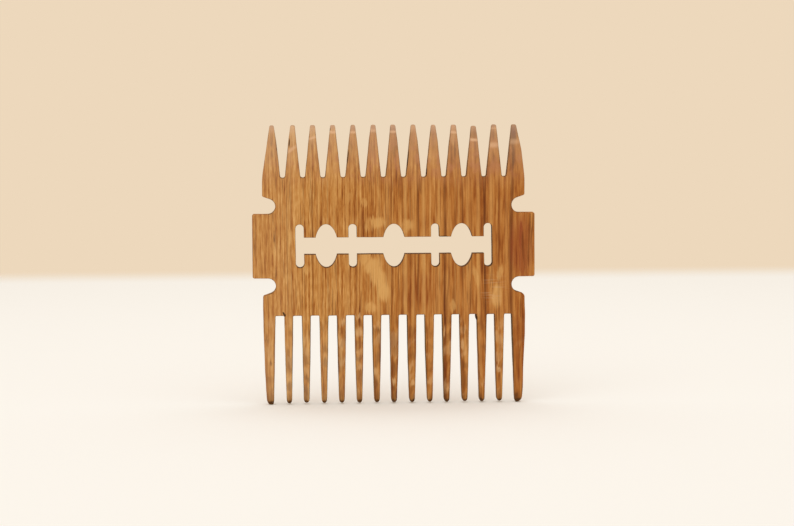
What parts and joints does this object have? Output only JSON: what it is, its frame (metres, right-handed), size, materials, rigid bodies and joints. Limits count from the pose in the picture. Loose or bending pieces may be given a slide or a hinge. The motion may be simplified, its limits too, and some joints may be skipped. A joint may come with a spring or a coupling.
{
  "type": "double-sided wooden comb",
  "caption": "Flat oak comb shaped like a slotted safety-razor blade: fine pointed short teeth on one edge, longer round-tipped teeth on the other, shaped cut-out along the spine.",
  "frame": {"origin": "centre of the comb's width and thickness, at the height of the long teeth's tips, on which it stands", "axes": "+X along the spine, +Z from the long teeth up to the short ones, Y through the board's thickness, with the front face towards -Y"},
  "size_m": [0.0808, 0.0038, 0.08],
  "materials": {
    "oiled_oak": "oiled satin oak, grain running from row to row, cut walls and tooth tips lightly browned"
  },
  "bodies": {
    "root": {"oak_comb": "oiled_oak"}
  },
  "joints": []
}
